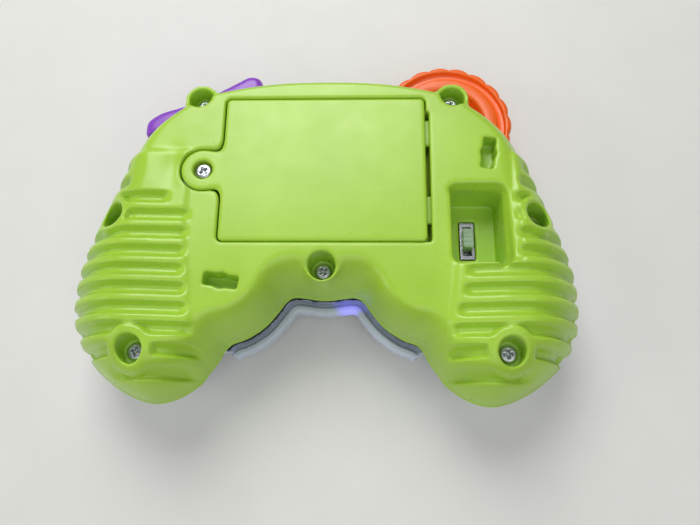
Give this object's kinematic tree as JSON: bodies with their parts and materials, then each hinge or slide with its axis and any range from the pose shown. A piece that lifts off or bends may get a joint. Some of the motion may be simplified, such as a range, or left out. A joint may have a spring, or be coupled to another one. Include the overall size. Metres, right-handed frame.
{
  "type": "toy game controller",
  "caption": "Two-handed toy game controller with ribbed grips, screwed battery door, slide switch in a deep well, click wheel, shoulder rocker, buttons, direction pad and stick.",
  "frame": {"origin": "on the surface the controller lies on, under the middle of its bounding box", "axes": "+Z out of the back of the case, +X towards the side with the slide switch, -Y towards the ends of the grips"},
  "size_m": [0.1536, 0.1158, 0.0436],
  "materials": {
    "lime_plastic": "moulded ABS, satin gloss",
    "white_plastic": "moulded ABS, gloss, faintly blue",
    "orange_plastic": "moulded ABS, gloss",
    "purple_plastic": "moulded ABS, gloss",
    "zinc_screw": "zinc-plated steel",
    "spring_steel": "nickel-plated spring steel",
    "switch_steel": "bright tinned steel",
    "knob_plastic": "natural acetal, slightly translucent",
    "black_plastic": "black moulded plastic",
    "board_brown": "phenolic paper board",
    "board_green": "solder mask over glass fibre",
    "component_mix": "small components",
    "black_wire": "PVC-insulated wire",
    "red_wire": "PVC-insulated wire",
    "cell_sleeve": "plain shrink sleeve over a steel can",
    "membrane_rubber": "silicone rubber",
    "violet_lens": "tinted epoxy",
    "dome_plastic": "milky polycarbonate",
    "speaker_paper": "coated paper",
    "button_yellow": "moulded ABS, gloss",
    "button_red": "moulded ABS, gloss",
    "button_blue": "moulded ABS, gloss",
    "button_green": "moulded ABS, gloss",
    "dpad_blue": "moulded ABS, gloss",
    "natural_plastic": "natural acetal",
    "stick_violet": "moulded ABS, gloss"
  },
  "bodies": {
    "case": {"back_shell": "lime_plastic", "front_shell": "white_plastic", "housing_screws": "zinc_screw", "wheel_clicker": "spring_steel", "side_switches": "black_plastic", "switch_board": "board_brown", "switch_can": "switch_steel", "switch_lead": "black_wire", "cell_1": "cell_sleeve", "cell_2": "cell_sleeve", "cell_3": "cell_sleeve", "contact_springs": "spring_steel", "contact_plates": "spring_steel", "battery_lead_red": "red_wire", "battery_lead_black": "black_wire", "circuit_board": "board_green", "main_chip": "black_plastic", "board_parts": "component_mix", "board_screws": "zinc_screw", "keypad_membrane": "membrane_rubber", "lamp_led": "violet_lens", "light_dome": "dome_plastic", "speaker_basket": "black_plastic", "speaker_cone": "speaker_paper", "speaker_magnet": "switch_steel", "speaker_lead": "black_wire", "dpad_post": "natural_plastic", "stick_base": "black_plastic"},
    "battery_door": {"battery_door": "lime_plastic"},
    "door_screw": {"door_screw": "zinc_screw"},
    "click_wheel": {"click_wheel": "orange_plastic"},
    "rocker": {"rocker": "purple_plastic"},
    "switch_knob": {"switch_knob": "knob_plastic"},
    "button_1": {"button_1": "button_yellow"},
    "button_2": {"button_2": "button_red"},
    "button_3": {"button_3": "button_blue"},
    "button_4": {"button_4": "button_green"},
    "dpad_pivot": {"dpad_pivot": "spring_steel"},
    "dpad": {"dpad": "dpad_blue"},
    "stick_gimbal": {"stick_gimbal": "natural_plastic"},
    "stick": {"stick_cap": "stick_violet", "stick_shaft": "natural_plastic"}
  },
  "joints": [
    {"name": "door_swing", "type": "hinge", "parent": "case", "child": "battery_door", "pos_m": [0.0319, 0.0102, 0.0386], "axis": [0, 1, 0], "range_deg": [0, 35]},
    {"name": "door_screw_lift", "type": "slide", "parent": "battery_door", "child": "door_screw", "axis": [0, 0, 1], "range_m": [0, 0.004]},
    {"name": "wheel_turn", "type": "hinge", "parent": "case", "child": "click_wheel", "pos_m": [0.04, 0.0354, 0.0175], "axis": [0, 0, 1], "continuous": true},
    {"name": "rocker_tilt", "type": "hinge", "parent": "case", "child": "rocker", "pos_m": [-0.04, 0.0354, 0.021], "axis": [0, 0, 1], "range_deg": [-3, 3], "stiffness_Nm_per_rad": 0.6},
    {"name": "switch_slide", "type": "slide", "parent": "case", "child": "switch_knob", "axis": [0, 1, 0], "range_m": [-0.002, 0.002]},
    {"name": "button_1_press", "type": "slide", "parent": "case", "child": "button_1", "axis": [0, 0, 1], "range_m": [0, 0.002], "stiffness_N_per_m": 400, "springref_m": -0.004},
    {"name": "button_2_press", "type": "slide", "parent": "case", "child": "button_2", "axis": [0, 0, 1], "range_m": [0, 0.002], "stiffness_N_per_m": 400, "springref_m": -0.004},
    {"name": "button_3_press", "type": "slide", "parent": "case", "child": "button_3", "axis": [0, 0, 1], "range_m": [0, 0.002], "stiffness_N_per_m": 400, "springref_m": -0.004},
    {"name": "button_4_press", "type": "slide", "parent": "case", "child": "button_4", "axis": [0, 0, 1], "range_m": [0, 0.002], "stiffness_N_per_m": 400, "springref_m": -0.004},
    {"name": "dpad_tilt_x", "type": "hinge", "parent": "case", "child": "dpad_pivot", "pos_m": [0.042, -0.002, 0.012], "axis": [1, 0, 0], "range_deg": [-3.2, 3.2], "stiffness_Nm_per_rad": 0.5},
    {"name": "dpad_tilt_y", "type": "hinge", "parent": "dpad_pivot", "child": "dpad", "pos_m": [0.042, -0.002, 0.012], "axis": [0, 1, 0], "range_deg": [-3.2, 3.2], "stiffness_Nm_per_rad": 0.5},
    {"name": "stick_tilt_x", "type": "hinge", "parent": "case", "child": "stick_gimbal", "pos_m": [-0.017, -0.006, 0.013], "axis": [1, 0, 0], "range_deg": [-12, 12], "stiffness_Nm_per_rad": 0.05},
    {"name": "stick_tilt_y", "type": "hinge", "parent": "stick_gimbal", "child": "stick", "pos_m": [-0.017, -0.006, 0.013], "axis": [0, 1, 0], "range_deg": [-12, 12], "stiffness_Nm_per_rad": 0.05}
  ]
}
